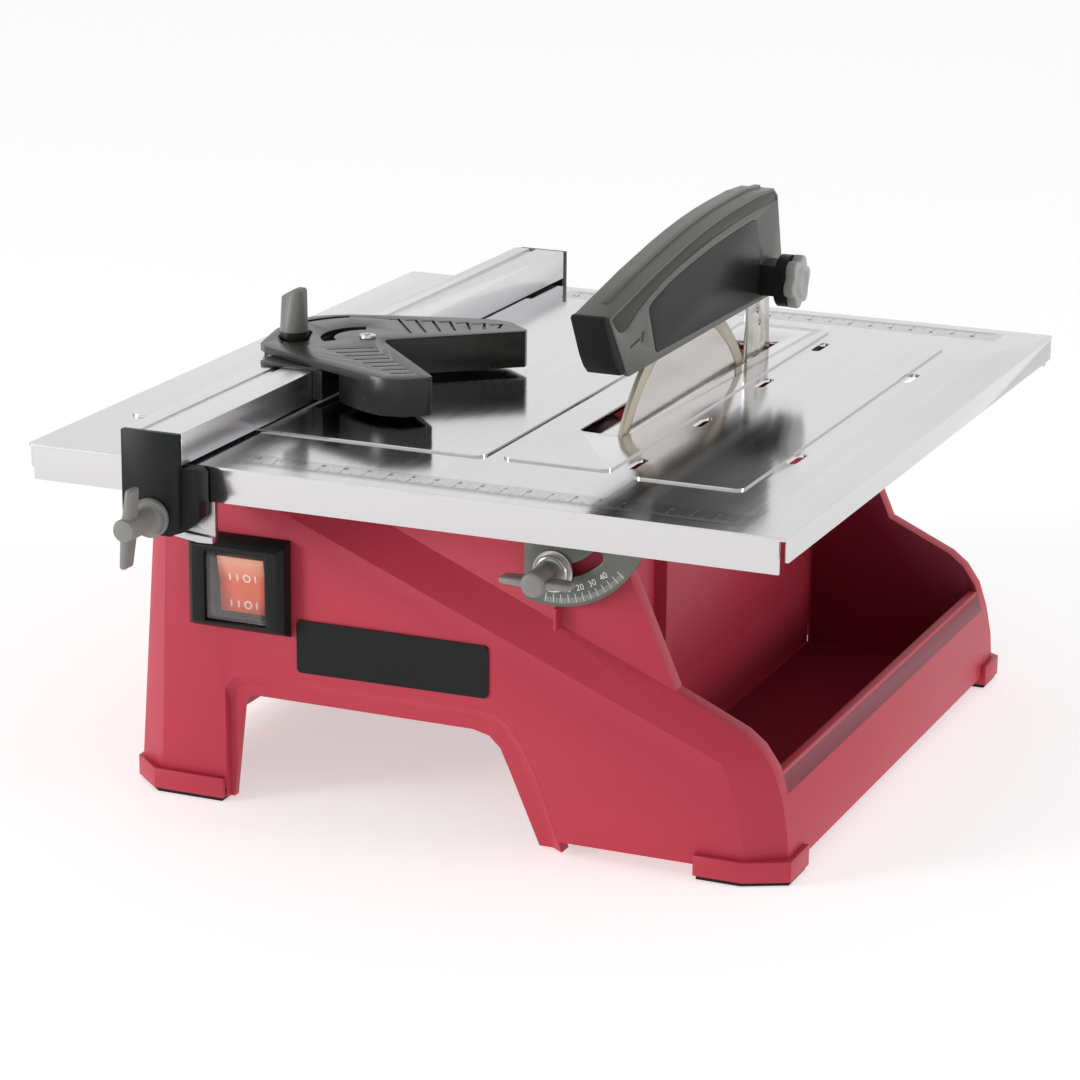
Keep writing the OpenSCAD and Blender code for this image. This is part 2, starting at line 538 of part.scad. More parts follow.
module gauge_head() color(c_black) place() difference() {
  union() {
    translate([0, 0, 16.7]) linear_extrude(3.1) polygon(head);
    difference() {
      translate([0, 0, 3.6]) linear_extrude(14) union() { polygon(arm_a); polygon(arm_b); }
      translate([0, 0, 2]) linear_extrude(12.6) offset(-2.2) union() { polygon(arm_a); polygon(arm_b); }
    }
  }
  cylz(gp[0], gp[1], 15, 21, 2.55);
  // arc windows round the pivot screw
  for (w = [[17.7, 6, 118, 228], [41.4, 3.2, 127, 157]]) translate([gp[0], gp[1], 15]) linear_extrude(8)
    difference() {
      circle(w[0] + w[1] / 2);
      circle(w[0] - w[1] / 2);
      polygon(concat([[0, 0]], [for (i = [0:8]) let (a = w[3] + (360 - w[3] + w[2]) * i / 8)
        90 * [cos(a), sin(a)]]));
    }
  // clearance for the locking lever
  translate([gp[0], gp[1], 15]) linear_extrude(8) hull() for (a = [-11, -5.5, 0, 5.5, 11])
    rotate(a) translate([-30.6, -11]) circle(6.8);
  // grooves on the two arms
  translate([0, 0, 18.9]) linear_extrude(2) for (i = [0:6]) {
    seg(mix([-88.2, 7.3], [-42, 17.5], i / 6), mix([-71.6, -14.8], [-40.3, 10.4], i / 6), 1.3);
    seg(mix([-88.2, 7.3], [-42, 17.5], i / 6), mix([-91.2, 5], [-45.6, 14.2], i / 6), 1.3);
  }
  translate([0, 0, 18.9]) linear_extrude(2) for (i = [0:7])
    seg(mix([-90.2, -58.4], [-46.4, -86.6], i / 7), mix([-74.4, -48], [-39.6, -82.2], i / 7), 1.3);
}
module gauge_pivot() color(c_steel) place() {
  cylz(gp[0], gp[1], fence_top + 0.3, 19.9, 2.5);
  cylz(gp[0], gp[1], 19.9, 20.9, 3.8);
}
module gauge_collar() color(c_black) place() difference() {
  cylz(-115.6, -41.5, 18.2, 22.2, 6.4);
  cylz(-115.6, -41.5, 17, 23, 2.5);
}
module gauge_knob() color(c_knob) place() hull() {
  translate([-115.6, -41.5, 22.2]) cylinder(h = 0.2, r = 6.2);
  translate([-119.6, -45.2, 37.4]) cube([3, 7.6, 0.2]);
  translate([-119, -44.8, 38.2]) cube([3, 6.8, 0.2]);
  translate([-114.6, -45, 39.6]) cube([3.6, 7.4, 0.2]);
  translate([-114.2, -44.4, 41]) cube([2.8, 6.2, 0.2]);
}
module gauge_screw() color(c_steel) place() cylz(-115.6, -41.5, fence_top + 0.2, 22.2, 2.5);

// ---- blade guard ----
prof = [[-85, 30.5], [-82, guard_low], [97, guard_low], [103.2, 43.5], [95.6, 73.4], [90, 77.3], [71.5, 78.3],
  [50, 77.9], [31, 77.2], [14, 76], [-3, 74.3], [-21, 72], [-38, 69.4], [-56, 66.6], [-72, 63.6],
  [-88, 60.5], [-103.5, 57.7], [-104.2, 56.2]];
prof_in = [[-83, 20], [99.4, 20], [100, 43.5], [92.6, 71.5], [88, 74.2], [71.5, 75.2], [50, 74.8], [31, 74.1],
  [14, 72.9], [-3, 71.2], [-21, 68.9], [-38, 66.3], [-56, 63.5], [-72, 60.5], [-88, 57.4],
  [-100.4, 55], [-83.5, 31]];
band = [[-101.6, 56], [-97.5, 52], [-94.4, 49.8], [-90.3, 48.8], [-86, 49], [-81.8, 50.4], [-73.4, 54.1],
  [-59, 58.1], [-44.4, 61.3], [-26.4, 64.1], [-8.1, 66.3], [17, 68.8], [49.4, 70.9], [69.5, 71.3],
  [94.6, 71.2], [93.6, 73.4], [89.4, 75.9], [71.5, 76.8], [50, 76.4], [31, 75.7], [14, 74.5], [-3, 72.8],
  [-21, 70.5], [-38, 67.9], [-56, 65.1], [-72, 62.1], [-88, 59], [-100.6, 56.6]];
panel = [[-60.4, 51.2], [-60.6, 52.4], [-59, 53.9], [-55.9, 55.1], [-38.3, 58.9], [-14.1, 62.1], [10.9, 64.5],
  [33.3, 66.1], [49.7, 67], [63.1, 67.4], [67, 66.9], [69.2, 65], [74, 48.4], [77.6, 32.6], [76.6, 31.2],
  [74.6, 30.8], [-50.4, 32], [-52.6, 33.4]];
module guard_shells() color(c_grey) place() difference() {
  union() {
    pyz(prof, blade_x - guard_half, blade_x + guard_half);
    // ridge line and boss
    intersection() {
      pyz([for (p = prof) [p[0], p[1] + 1.1]], blade_x - 1.6, blade_x + 1.6);
      bx(40, 62, -90, 90, 50, 90);
    }
  }
  pyz(prof_in, blade_x - guard_half + 2.4, blade_x + guard_half - 2.4);
  // band and panel let into both flanks, latch mark near the front
  for (x = [blade_x - guard_half - 1, blade_x + guard_half - 0.7]) pyz(band, x, x + 1.7);
  for (x = [blade_x - guard_half - 1, blade_x + guard_half - 0.9]) pyz(panel, x, x + 1.9);
  for (x = [blade_x - guard_half - 1, blade_x + guard_half - 0.8])
    pyz([[-81.4, 40.1], [-69.2, 41.7], [-69.4, 39.9], [-66.6, 40.3], [-66, 44.4], [-68.8, 44.2],
      [-69, 43], [-81.2, 41.4]], x, x + 1.8);
  cylx(guard_y, guard_z, blade_x - 12, blade_x + 20, 3.05);
}
module guard_side_plates() color(c_black) place() {
  for (x = [blade_x - guard_half - 0.1, blade_x + guard_half - 0.9]) pyz(panel, x, x + 1);
  // square neck under the knob
  difference() {
    bx(blade_x + guard_half, blade_x + guard_half + 6.6, 74.6, guard_y + 7.6, guard_z - 5.8, guard_z + 8);
    cylx(guard_y, guard_z, blade_x, blade_x + 20, 3.05);
  }
}
module guard_bands() color(c_black) place()
  for (x = [blade_x - guard_half + 0.2, blade_x + guard_half - 0.7]) pyz(band, x, x + 0.5);
module guard_flap() color(c_black) place()
  pyz([[-104.2, 56.2], [-85.6, 31.3], [-87, 30], [-90.6, 30.8], [-95, 34.4], [-99.4, 40], [-109.2, 57.4],
    [-107.6, 58.6], [-105, 58.4]], blade_x - guard_half + 0.4, blade_x + guard_half - 0.4);
module guard_screws() color(c_steel) place()
  for (p = [[-88, 41.5], [88, 63]])
    cylx(p[0], p[1], blade_x - guard_half - 1.2, blade_x - guard_half, 2.6);
module guard_knob_seat() color(c_black) place()
  cylx(guard_y, guard_z, blade_x + guard_half + 6.8, blade_x + guard_half + 11.6, 11.8);
module guard_knob() color(c_knob) place()
  translate([blade_x + guard_half + 11.6, guard_y, guard_z]) rotate([0, 90, 0]) {
    linear_extrude(5.2) difference() {
      circle(12.2);
      for (a = [0:60:300]) rotate(a + 12) translate([14.6, 0]) circle(4.2);
    }
    translate([0, 0, 5.2]) cylinder(h = 1.4, r1 = 8.6, r2 = 6.4);
  }
module guard_bolt() color(c_steel) place() {
  cylx(guard_y, guard_z, blade_x - guard_half - 1.6, blade_x + guard_half + 6.8, 3);
  cylx(guard_y, guard_z, blade_x - guard_half - 4.4, blade_x - guard_half - 0.4, 5);
}

base_shell();
tub_walls();
front_arch_rim();
corner_feet();
rubber_pads();
tilt_pins();
rest_bumpers();
front_nameplate();
switch_bezel();
switch_rocker();
switch_cover();
motor_can();
motor_caps();
stator();
rotor();
motor_shaft();
motor_bearings();
cooling_fan();
blade_core();
blade_rim();
blade_flanges();
arbor_nut();
lower_guard();
splitter();
splitter_bolts();
cord_inlet();
drain_plug();
motor_screws();
table_sheet();
front_bracket();
rear_bracket();
bracket_rivets();
front_lock_knob();
front_lock_stud();
rear_lock_knob();
rear_lock_stud();
fence_rail();
fence_clamp();
fence_jaw();
fence_hook();
fence_screws();
fence_knob();
fence_bolt();
gauge_saddle();
gauge_head();
gauge_pivot();
gauge_knob();
gauge_collar();
gauge_screw();
guard_shells();
guard_side_plates();
guard_bands();
guard_flap();
guard_screws();
guard_knob_seat();
guard_knob();
guard_bolt();
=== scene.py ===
import json
import math
import bpy
import bmesh
from mathutils import Matrix, Vector


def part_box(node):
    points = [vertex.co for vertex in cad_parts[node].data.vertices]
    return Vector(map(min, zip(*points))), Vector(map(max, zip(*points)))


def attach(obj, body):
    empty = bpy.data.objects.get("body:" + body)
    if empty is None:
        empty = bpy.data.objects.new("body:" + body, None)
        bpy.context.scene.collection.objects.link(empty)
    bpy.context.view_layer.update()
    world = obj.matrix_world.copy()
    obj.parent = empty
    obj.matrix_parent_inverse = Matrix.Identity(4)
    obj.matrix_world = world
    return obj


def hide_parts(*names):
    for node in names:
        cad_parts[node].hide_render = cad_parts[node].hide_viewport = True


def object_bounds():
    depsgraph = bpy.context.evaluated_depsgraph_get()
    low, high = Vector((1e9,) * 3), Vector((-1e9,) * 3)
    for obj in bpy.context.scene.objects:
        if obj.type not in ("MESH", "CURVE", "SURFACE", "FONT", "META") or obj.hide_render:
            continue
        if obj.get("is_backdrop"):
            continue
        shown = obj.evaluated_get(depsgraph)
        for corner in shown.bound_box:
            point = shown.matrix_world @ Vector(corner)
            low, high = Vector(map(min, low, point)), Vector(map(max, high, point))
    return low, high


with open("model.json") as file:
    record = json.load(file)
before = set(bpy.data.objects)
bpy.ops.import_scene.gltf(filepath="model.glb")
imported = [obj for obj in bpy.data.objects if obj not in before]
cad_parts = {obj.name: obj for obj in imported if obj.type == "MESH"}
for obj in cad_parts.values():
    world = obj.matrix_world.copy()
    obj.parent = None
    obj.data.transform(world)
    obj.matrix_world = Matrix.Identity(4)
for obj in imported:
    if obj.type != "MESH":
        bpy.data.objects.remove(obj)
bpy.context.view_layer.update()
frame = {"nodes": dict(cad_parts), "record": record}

mm = 0.001
nodes = frame["nodes"]
scene = bpy.context.scene
scene.view_settings.view_transform = "Standard"
origin = Vector((0, 8.75, 157))  # centre of the table top, in mm above the bench


def at(x, y, z):  # a place counted from the middle of the table top, in mm
    return (origin + Vector((x, y, z))) * mm


# angles in radians, distance, aim, lens and sensor in mm, near and far in metres
camera = {"azimuth": 0.4023787, "elevation": 0.2852265, "roll": 0.0096112, "distance": 1592.298,
          "aim": (-14.4849, -67.56), "lens": 121.05, "sensor": 36, "near": 0.05, "far": 30}
studio = {"backdrop": 1.0, "ambient": 0.40, "lightAim": (0, 0, 0.1), "floor": (0.96, 0.96, 0.96),
          "floorGlow": 0.52, "floorReach": 30.0, "floorDrop": 0.0002}
# place and width in metres, power in watts
lights = {"keyLight": {"spot": (-1.8, -1.75, 0.5), "size": 0.9, "power": 27.0},
          "sideLight": {"spot": (2.1, 0.15, 0.5), "size": 0.6, "power": 10.0}}


def makeCamera(c):
    a, e = c["azimuth"], c["elevation"]
    back = Vector((math.sin(a) * math.cos(e), -math.cos(a) * math.cos(e), math.sin(e)))
    right = Vector((0, 0, 1)).cross(back).normalized()
    up = back.cross(right)
    turn = Matrix.Rotation(c["roll"], 3, back)
    right, up = turn @ right, turn @ up
    data = bpy.data.cameras.new("studioCamera")
    data.sensor_width, data.lens = c["sensor"], c["lens"]
    data.clip_start, data.clip_end = c["near"], c["far"]
    made = bpy.data.objects.new("studioCamera", data)
    spot = (origin + back * c["distance"] + right * c["aim"][0] + up * c["aim"][1]) * mm
    made.matrix_world = Matrix.Translation(spot) @ Matrix((right, up, back)).transposed().to_4x4()
    scene.collection.objects.link(made)
    scene.camera = made


def areaLight(name, spot, aim, size, power):
    data = bpy.data.lights.new(name, "AREA")
    data.shape, data.size, data.energy = "DISK", size, power
    made = bpy.data.objects.new(name, data)
    made.location = spot
    made.rotation_euler = (Vector(aim) - Vector(spot)).to_track_quat("-Z", "Y").to_euler()
    scene.collection.objects.link(made)


makeCamera(camera)
for name, light in lights.items():
    areaLight(name, light["spot"], studio["lightAim"], light["size"], light["power"])
world = bpy.data.worlds.new("studioWorld")
world.use_nodes = True
tree = world.node_tree
background = tree.nodes["Background"]
background.inputs["Color"].default_value = (1, 1, 1, 1)
path = tree.nodes.new("ShaderNodeLightPath")  # a white backdrop, with a softer glow on the object itself
seen = tree.nodes.new("ShaderNodeMath")
seen.operation, seen.use_clamp = "ADD", True
tree.links.new(path.outputs["Is Camera Ray"], seen.inputs[0])
tree.links.new(path.outputs["Is Glossy Ray"], seen.inputs[1])
glow = tree.nodes.new("ShaderNodeMath")
glow.operation = "MULTIPLY_ADD"
tree.links.new(seen.outputs[0], glow.inputs[0])
glow.inputs[1].default_value = studio["backdrop"] - studio["ambient"]
glow.inputs[2].default_value = studio["ambient"]
tree.links.new(glow.outputs[0], background.inputs["Strength"])
scene.world = world
print("camera and light set")


class Wire:  # one socket, so that a pattern is written as a sum
    def __init__(self, paint, socket):
        self.paint, self.socket = paint, socket

    def math(self, operation, *others):
        return self.paint.add("ShaderNodeMath", {"operation": operation}, dict(enumerate((self,) + others)))

    def __add__(self, other):
        return self.math("ADD", other)

    def __sub__(self, other):
        return self.math("SUBTRACT", other)

    def __rsub__(self, other):
        return self.math("MULTIPLY", -1.0).math("ADD", other)

    def __mul__(self, other):
        return self.math("MULTIPLY", other)

    def __truediv__(self, other):
        return self.math("DIVIDE", other)

    def __gt__(self, other):
        return self.math("GREATER_THAN", other)

    def __lt__(self, other):
        return self.math("LESS_THAN", other)

    __radd__, __rmul__ = __add__, __mul__

    def fract(self):
        return self.math("FRACT")

    def distanceTo(self, value):
        return (self - value).math("ABSOLUTE")


class Paint:  # one material
    def __init__(self, name, **sockets):
        self.material = bpy.data.materials.new(name)
        self.material.use_nodes = True
        self.tree = self.material.node_tree
        self.shader = self.tree.nodes["Principled BSDF"]
        for key, value in sockets.items():
            self.feed(key, value)

    def add(self, kind, settings=None, values=None, output=0):
        node = self.tree.nodes.new(kind)
        for key, value in (settings or {}).items():
            if key == "stops":
                ramp = node.color_ramp
                while len(ramp.elements) < len(value):
                    ramp.elements.new(0.5)
                for element, (place, shade) in zip(ramp.elements, value):
                    element.position, element.color = place, shade
            else:
                setattr(node, key, value)
        for key, value in (values or {}).items():
            self.join(node.inputs[key], value)
        return Wire(self, node.outputs[output])

    def join(self, socket, value):
        if isinstance(value, Wire):
            self.tree.links.new(value.socket, socket)
        else:
            isColor = hasattr(value, "__len__") and socket.type == "RGBA"
            socket.default_value = (*value, 1) if isColor else value

    def feed(self, name, value):
        words = {"color": "Base Color", "rough": "Roughness", "metal": "Metallic", "alpha": "Alpha",
                 "normal": "Normal", "specular": "Specular IOR Level"}
        self.join(self.shader.inputs[words.get(name, name)], value)

    def where(self, move=(0, 0, 0), scale=(1, 1, 1)):
        spot = self.add("ShaderNodeTexCoord", output=3)
        start = tuple(-m * s for m, s in zip(move, scale))
        return self.add("ShaderNodeMapping", {"vector_type": "POINT"},
                        {"Vector": spot, "Location": start, "Scale": scale})

    def axes(self, move=(0, 0, 0)):
        parts = self.add("ShaderNodeSeparateXYZ", values={0: self.where(move)})
        return [Wire(self, parts.socket.node.outputs[i]) for i in range(3)]

    def noise(self, scale, where=None, detail=2.0, rough=0.5):
        return self.add("ShaderNodeTexNoise", {"noise_dimensions": "3D"},
                        {"Vector": where or self.where(), "Scale": scale, "Detail": detail,
                         "Roughness": rough})

    def mix(self, factor, low, high):
        made = self.add("ShaderNodeMix", {"data_type": "RGBA"}, output=2)
        inputs = made.socket.node.inputs
        for index, value in ((0, factor), (6, low), (7, high)):
            self.join(inputs[index], value)
        return made

    def bump(self, height, strength, depth):
        self.feed("normal", self.add("ShaderNodeBump", values={"Height": height, "Strength": strength,
                                                               "Distance": depth}))

    def range(self, value, low, high):
        return value * (high - low) + low


# finishes: noise scales are in cells per metre
def mouldedPlastic(name, color, shade, rough, grain=1500.0, depth=0.00012, strength=0.25, shine=0.3):
    paint = Paint(name, specular=shine)
    cloud = paint.noise(9.0, detail=3.0)
    fine = paint.noise(grain, detail=3.0, rough=0.6)
    paint.feed("color", paint.mix(cloud * 0.7 + fine * 0.3, color, shade))
    paint.feed("rough", paint.range(cloud * 0.6 + fine * 0.4, rough - 0.05, rough + 0.07))
    paint.bump(fine, strength, depth)
    return paint


def brushedMetal(name, color, rough, along, spread=0.08, strength=0.12, dark=0.9):
    paint = Paint(name, metal=1.0)
    stretch = tuple(3.0 if i == along else 900.0 for i in range(3))
    lines = paint.noise(1.0, paint.where(scale=stretch), detail=4.0, rough=0.65)
    cloud = paint.noise(14.0, detail=2.0)
    low = tuple(c * dark for c in color)
    paint.feed("color", paint.mix(lines * 0.6 + cloud * 0.4, low, color))
    paint.feed("rough", paint.range(lines, rough, rough + spread))
    paint.bump(lines, strength, 0.00006)
    return paint


def trayFinish(name, tray):  # the base's red, with painted shade inside the tray and on its rear wall
    paint = mouldedPlastic(name, tray["color"], tray["shade"], 0.42)
    x, y, z = paint.axes(at(0, 0, 0))
    x, y, z = x * 1000.0, y * 1000.0, z * 1000.0
    across = (x > tray["left"]) * (x < tray["right"])
    inside = across * (y > tray["front"]) * (y < tray["rear"] + tray["past"])
    # painted shade: below the sill and on the rear wall's inner face the red is darkened to stand in for the
    # shade under the table
    wet = inside * (z < tray["sill"]).math("MAXIMUM", y > tray["rear"] - tray["lap"]) * (z < tray["top"])
    unshadedRed = Wire(paint, paint.shader.inputs["Base Color"].links[0].from_socket)
    paint.feed("color", paint.mix(wet * paint.range(paint.noise(18.0), 0.86, 1.0), unshadedRed, tray["wet"]))
    return paint


# the darkest red here is painted shade for the inside of the tray
trayLook = {"color": (0.50, 0.040, 0.070), "shade": (0.465, 0.035, 0.062), "wet": (0.17, 0.010, 0.030),
            "left": 67.0, "right": 150.8, "front": -133.4, "rear": 136.0, "past": 0.4, "lap": 0.6,
            "sill": -114.6, "top": -12.0}
trayPlastic = trayFinish("red tray plastic with painted shade", trayLook)
paleKnobPlastic = mouldedPlastic("pale grey knob plastic", (0.46, 0.455, 0.44), (0.40, 0.395, 0.38), 0.36)
redPlastic = mouldedPlastic("red moulded plastic", (0.50, 0.040, 0.070), (0.465, 0.035, 0.062), 0.42)
blackPlastic = mouldedPlastic("black moulded plastic", (0.010, 0.011, 0.012), (0.016, 0.017, 0.017), 0.34,
                              shine=0.14)
gaugePlastic = mouldedPlastic("soft black gauge plastic", (0.015, 0.014, 0.012), (0.024, 0.023, 0.020), 0.27,
                              grain=1100.0, shine=0.42)
guardPlastic = mouldedPlastic("dark grey guard plastic", (0.118, 0.118, 0.102), (0.090, 0.090, 0.078), 0.34)
bandPlastic = mouldedPlastic("dark guard band", (0.014, 0.013, 0.010), (0.030, 0.027, 0.021), 0.32, 1300.0,
                             shine=0.16)
knobPlastic = mouldedPlastic("grey knob plastic", (0.27, 0.265, 0.245), (0.22, 0.215, 0.20), 0.38)
blackRubber = mouldedPlastic("black rubber", (0.012, 0.012, 0.013), (0.019, 0.019, 0.019), 0.55,
                             grain=900.0, depth=0.0002, strength=0.4, shine=0.12)


def rockerFinish(name, look):  # orange red, lighter at the top, with two rows of plain marks
    paint = Paint(name)
    x, _, z = paint.axes(at(*look["centre"]))
    x, z = x * 1000.0, z * 1000.0
    cloud = paint.noise(120.0, detail=2.0)
    rise = (z + cloud * 5.0 - look["paleFrom"]) / look["paleOver"]
    pale = rise.math("MINIMUM", 1.0).math("MAXIMUM", 0.0)
    marks = None
    for row in look["rows"]:
        up = z - row
        for spot in look["rings"]:
            side = x - spot
            ring = (side * side + up * up).math("SQRT").distanceTo(look["ring"]) < look["line"]
            marks = ring if marks is None else marks.math("MAXIMUM", ring)
        for spot in look["bars"]:
            bar = ((x - spot).math("ABSOLUTE") < look["line"]) * (up.math("ABSOLUTE") < look["ring"])
            marks = marks.math("MAXIMUM", bar)
    body = paint.mix(pale, paint.mix(cloud, look["color"], look["shade"]), look["pale"])
    paint.feed("color", paint.mix(marks * 0.9, body, look["ink"]))
    paint.feed("rough", paint.range(cloud, 0.16, 0.28))
    paint.bump(marks, 0.3, 0.0001)
    return paint


rockerLook = {"centre": (-84, -152, -59.8), "color": (0.86, 0.110, 0.014), "shade": (0.72, 0.080, 0.010),
              "pale": (0.86, 0.36, 0.22), "paleFrom": 4.0, "paleOver": 9.0, "rows": (3.2, -8.6),
              "rings": (2.2,), "bars": (-5.6, -2.2, 6.2), "ring": 1.5, "line": 0.38,
              "ink": (0.93, 0.80, 0.74)}
rockerPlastic = rockerFinish("orange red rocker plastic", rockerLook)
windingPaint = mouldedPlastic("varnished winding", (0.30, 0.10, 0.035), (0.22, 0.07, 0.03), 0.35, 500.0)
motorPaint = mouldedPlastic("grey motor paint", (0.10, 0.105, 0.11), (0.085, 0.09, 0.095), 0.40)
zincSteel = brushedMetal("bright zinc steel", (0.62, 0.61, 0.60), 0.26, 2)
splitterSteel = brushedMetal("splitter steel", (0.66, 0.64, 0.59), 0.22, 2)
fenceAlloy = brushedMetal("bright fence alloy", (0.72, 0.71, 0.725), 0.26, 1, 0.05, 0.04, 0.93)
castAlloy = brushedMetal("cast alloy", (0.50, 0.50, 0.51), 0.42, 0)
tubSteel = brushedMetal("splash plate steel", (0.72, 0.71, 0.68), 0.14, 1)


def tableFinish(name, look):
    paint = Paint(name, metal=1.0)
    x, y, z = paint.axes(at(0, 0, 0))
    x, y, z = x * 1000.0, y * 1000.0, z * 1000.0
    streak = paint.noise(1.0, paint.where(scale=(260.0, 5.0, 260.0)), detail=5.0, rough=0.6)
    cloud = paint.noise(6.0, detail=3.0)
    marks = None
    for edge, side in ((look["frontRuler"], 1.0), (look["rearRuler"], -1.0)):
        depth = (y - edge) * side  # mm in from the ruler's outer line
        row = (depth > 0.0) * (depth < look["tickLong"]) * (x > look["left"]) * (x < look["right"])
        one = ((x - look["zero"]).fract().distanceTo(0.5) > 0.33) * (depth < look["tickShort"])
        fifth = ((x - look["zero"] + 2.5) / 5.0).fract()
        five = (fifth.distanceTo(0.5) < 0.045) * (depth < look["tickMiddle"])
        ten = (((x - look["zero"] + 5.0) / 10.0).fract().distanceTo(0.5) < 0.024)
        line = (depth.distanceTo(0.0) < 0.16) * (x > look["left"]) * (x < look["right"])
        these = (row * one.math("MAXIMUM", five).math("MAXIMUM", ten)).math("MAXIMUM", line)
        marks = these if marks is None else marks.math("MAXIMUM", these)
    marks = marks * (z > -0.5)
    frontBand = (y + look["bandMiddle"]).distanceTo(0.0) < look["bandHalf"]
    rearBand = (y - look["bandMiddle"]).distanceTo(0.0) < look["bandHalf"]
    within = (x > look["left"] - look["bandPast"]) * (x < look["right"] + look["bandPast"])
    band = frontBand.math("MAXIMUM", rearBand) * within
    # the ruler bands darker towards the ink colour, in a noisy pattern
    bandDarkening = band * (z > -0.5) * paint.noise(1.0, paint.where(scale=(900.0, 260.0, 300.0)), detail=3.0)
    top = paint.mix(streak * 0.5 + cloud * 0.5, look["shade"], look["color"])
    # painted light and shade: the sheet's folded sides, below the top, get one flat colour of their own, set
    # to how bright they look
    steel = paint.mix(bandDarkening * 0.55, paint.mix(z < -1.0, top, look["edge"]), look["inkColor"])
    paint.feed("color", paint.mix(marks * look["ink"], steel, look["inkColor"]))
    paint.feed("rough", paint.range(streak, look["rough"], look["rough"] + 0.07) + marks * 0.25)
    paint.bump(streak * 0.35 + cloud * 0.65, 0.10, 0.0006)
    return paint


# the edge colour is painted light and shade for the sheet's folded sides
tableLook = {"color": (0.72, 0.705, 0.725), "shade": (0.50, 0.49, 0.505), "edge": (0.68, 0.668, 0.672),
             "bandMiddle": 170.5, "bandHalf": 8.5, "bandPast": 4.0, "rough": 0.085, "frontRuler": -176.0,
             "rearRuler": 178.0, "tickShort": 3.0, "tickMiddle": 4.6, "tickLong": 6.4, "left": -72.0,
             "right": 140.0, "zero": 51.0, "ink": 0.85, "inkColor": (0.10, 0.10, 0.11)}
tableSteel = tableFinish("polished table steel", tableLook)


def bracketFinish(name, look):
    paint = Paint(name, metal=0.3)
    x, _, z = paint.axes(at(*look["centre"]))
    x, z = x * 1000.0, z * 1000.0
    radius = (x * x + z * z).math("SQRT")
    angle = z.math("ARCTAN2", x) * (180 / math.pi) + 90.0
    fine = (angle.fract().distanceTo(0.5) > 0.40) * (radius > look["outer"] - look["tickShort"])
    fifth = ((angle + 2.5) / 5.0).fract()
    five = (fifth.distanceTo(0.5) < 0.05) * (radius > look["outer"] - look["tickLong"])
    scale = (angle > look["from"]) * (angle < look["to"])
    marks = fine.math("MAXIMUM", five) * (radius < look["outer"]) * scale
    grain = paint.noise(420.0, detail=4.0)
    cloud = paint.noise(40.0, detail=3.0)
    steel = paint.mix(cloud, look["shade"], look["color"])
    paint.feed("color", paint.mix(marks * 0.85, steel, look["ink"]))
    paint.feed("rough", paint.range(grain, 0.34, 0.48))
    paint.bump(grain * 0.3 - marks * 0.7, 0.25, 0.0002)
    return paint


bracketLook = {"centre": (53.5, 0, -11.5), "outer": 39.4, "tickShort": 2.2, "tickLong": 3.6, "from": -6.0,
               "to": 51.0, "color": (0.155, 0.168, 0.145), "shade": (0.095, 0.105, 0.088),
               "ink": (0.75, 0.76, 0.72)}
bracketSteel = bracketFinish("grey green bracket steel", bracketLook)
bladeHub = (51, 1.5, -50.6)  # mm from the middle of the table top


def bladeFinish(name, color, shade, rough, rings, metal=1.0, speckle=0.0):
    paint = Paint(name, metal=metal)
    _, y, z = paint.axes(at(*bladeHub))
    radius = (y * y + z * z).math("SQRT")
    line = paint.add("ShaderNodeTexNoise", {"noise_dimensions": "1D"},
                     {"W": radius * rings, "Scale": 1.0, "Detail": 3.0})
    grit = paint.noise(1500.0, detail=3.0, rough=0.7)
    cloud = paint.noise(22.0, detail=2.0)
    blend = line * (0.6 - speckle * 0.4) + grit * speckle + cloud * 0.3
    paint.feed("color", paint.mix(blend, shade, color))
    paint.feed("rough", paint.range(line, rough, rough + 0.12))
    paint.bump(line * (1.0 - speckle) + grit * speckle, 0.15 + speckle * 0.5, 0.0001 + speckle * 0.0002)
    return paint


bladeSteel = bladeFinish("blade steel", (0.84, 0.82, 0.79), (0.66, 0.64, 0.60), 0.17, 1800.0)
bladeGrit = bladeFinish("abrasive blade rim", (0.56, 0.51, 0.41), (0.42, 0.37, 0.28), 0.42, 600.0, 0.6, 0.8)


def clearFinish(name, color, alpha):
    paint = Paint(name, rough=0.08, specular=0.2)
    haze = paint.noise(30.0, detail=2.0)
    paint.feed("color", paint.mix(haze, color, tuple(c * 0.96 for c in color)))
    paint.feed("alpha", paint.range(haze, alpha - 0.04, alpha + 0.04))
    return paint


clearCover = clearFinish("clear switch cover", (0.93, 0.90, 0.90), 0.07)


def inkFinish(name, color):
    paint = Paint(name, rough=0.5)
    wear = paint.noise(800.0, detail=2.0)
    paint.feed("color", paint.mix(wear, color, tuple(min(1.0, c * 1.25) for c in color)))
    return paint


darkInk = inkFinish("dark etched ink", (0.14, 0.14, 0.15))
paleInk = inkFinish("pale marking", (0.85, 0.78, 0.74))


def floorFinish(name, color, glow):
    paint = Paint(name, rough=0.7, specular=0.1)
    cloud = paint.noise(1.5, detail=2.0)
    paint.feed("color", paint.mix(cloud, color, tuple(c * 0.995 for c in color)))
    paint.feed("Emission Color", (1.0, 1.0, 1.0))
    paint.feed("Emission Strength", glow)
    return paint


floorPaint = floorFinish("pale studio floor", studio["floor"], studio["floorGlow"])
print("finishes mixed")

